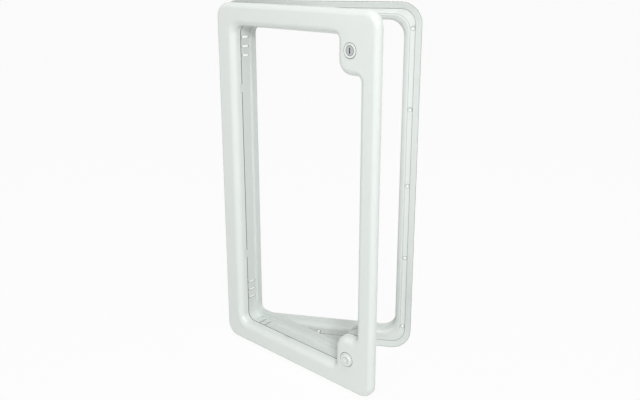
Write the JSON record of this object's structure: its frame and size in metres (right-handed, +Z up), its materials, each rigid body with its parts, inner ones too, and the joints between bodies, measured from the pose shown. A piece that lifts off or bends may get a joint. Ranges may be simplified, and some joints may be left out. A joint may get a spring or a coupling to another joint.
{
  "type": "caravan toilet service door",
  "caption": "Caravan service door: moulded wall frame with a hinged, windowed door frame, key lock and push-button latch.",
  "frame": {"origin": "on the flange's flat rear face, in the middle of the bottom rail", "axes": "+X right as seen from outside, +Y into the wall, +Z up"},
  "size_m": [0.386, 0.2419, 0.7],
  "materials": {
    "moulding": "pale grey-white satin ABS moulding",
    "ring_plastic": "pale grey fine-textured ABS",
    "button_plastic": "white satin plastic",
    "mechanism_plastic": "light grey plastic",
    "seal_rubber": "grey rubber",
    "lock_metal": "nickel-plated",
    "zinc_steel": "zinc-plated",
    "pin_steel": "stainless"
  },
  "bodies": {
    "frame": {"wall_frame": "moulding", "hinge_pin_top": "pin_steel", "hinge_pin_middle": "pin_steel", "hinge_pin_bottom": "pin_steel"},
    "door": {"door_cover_frame": "moulding", "door_clamp_ring": "ring_plastic", "door_seal": "seal_rubber", "lock_bezel": "moulding", "button_bezel": "moulding", "lock_housing": "mechanism_plastic", "latch_housing": "mechanism_plastic", "lock_tongue": "mechanism_plastic", "latch_tongue": "mechanism_plastic", "hinge_knuckle_top": "moulding", "hinge_knuckle_middle": "moulding", "hinge_knuckle_bottom": "moulding"},
    "lock": {"lock_barrel": "lock_metal", "lock_cam": "zinc_steel", "cam_nut": "zinc_steel"},
    "button": {"push_button": "button_plastic"}
  },
  "joints": [
    {"name": "door_swing", "type": "hinge", "parent": "frame", "child": "door", "pos_m": [-0.186, -0.02, 0.342], "axis": [0, 0, -1], "range_deg": [-30, 65]},
    {"name": "lock_turn", "type": "hinge", "parent": "door", "child": "lock", "pos_m": [0.08979, -0.18731, 0.623], "axis": [-0.5, -0.866, 0], "range_deg": [0, 90]},
    {"name": "button_press", "type": "slide", "parent": "door", "child": "button", "axis": [0.5, 0.866, 0], "range_m": [0, 0.003], "stiffness_N_per_m": 800}
  ]
}
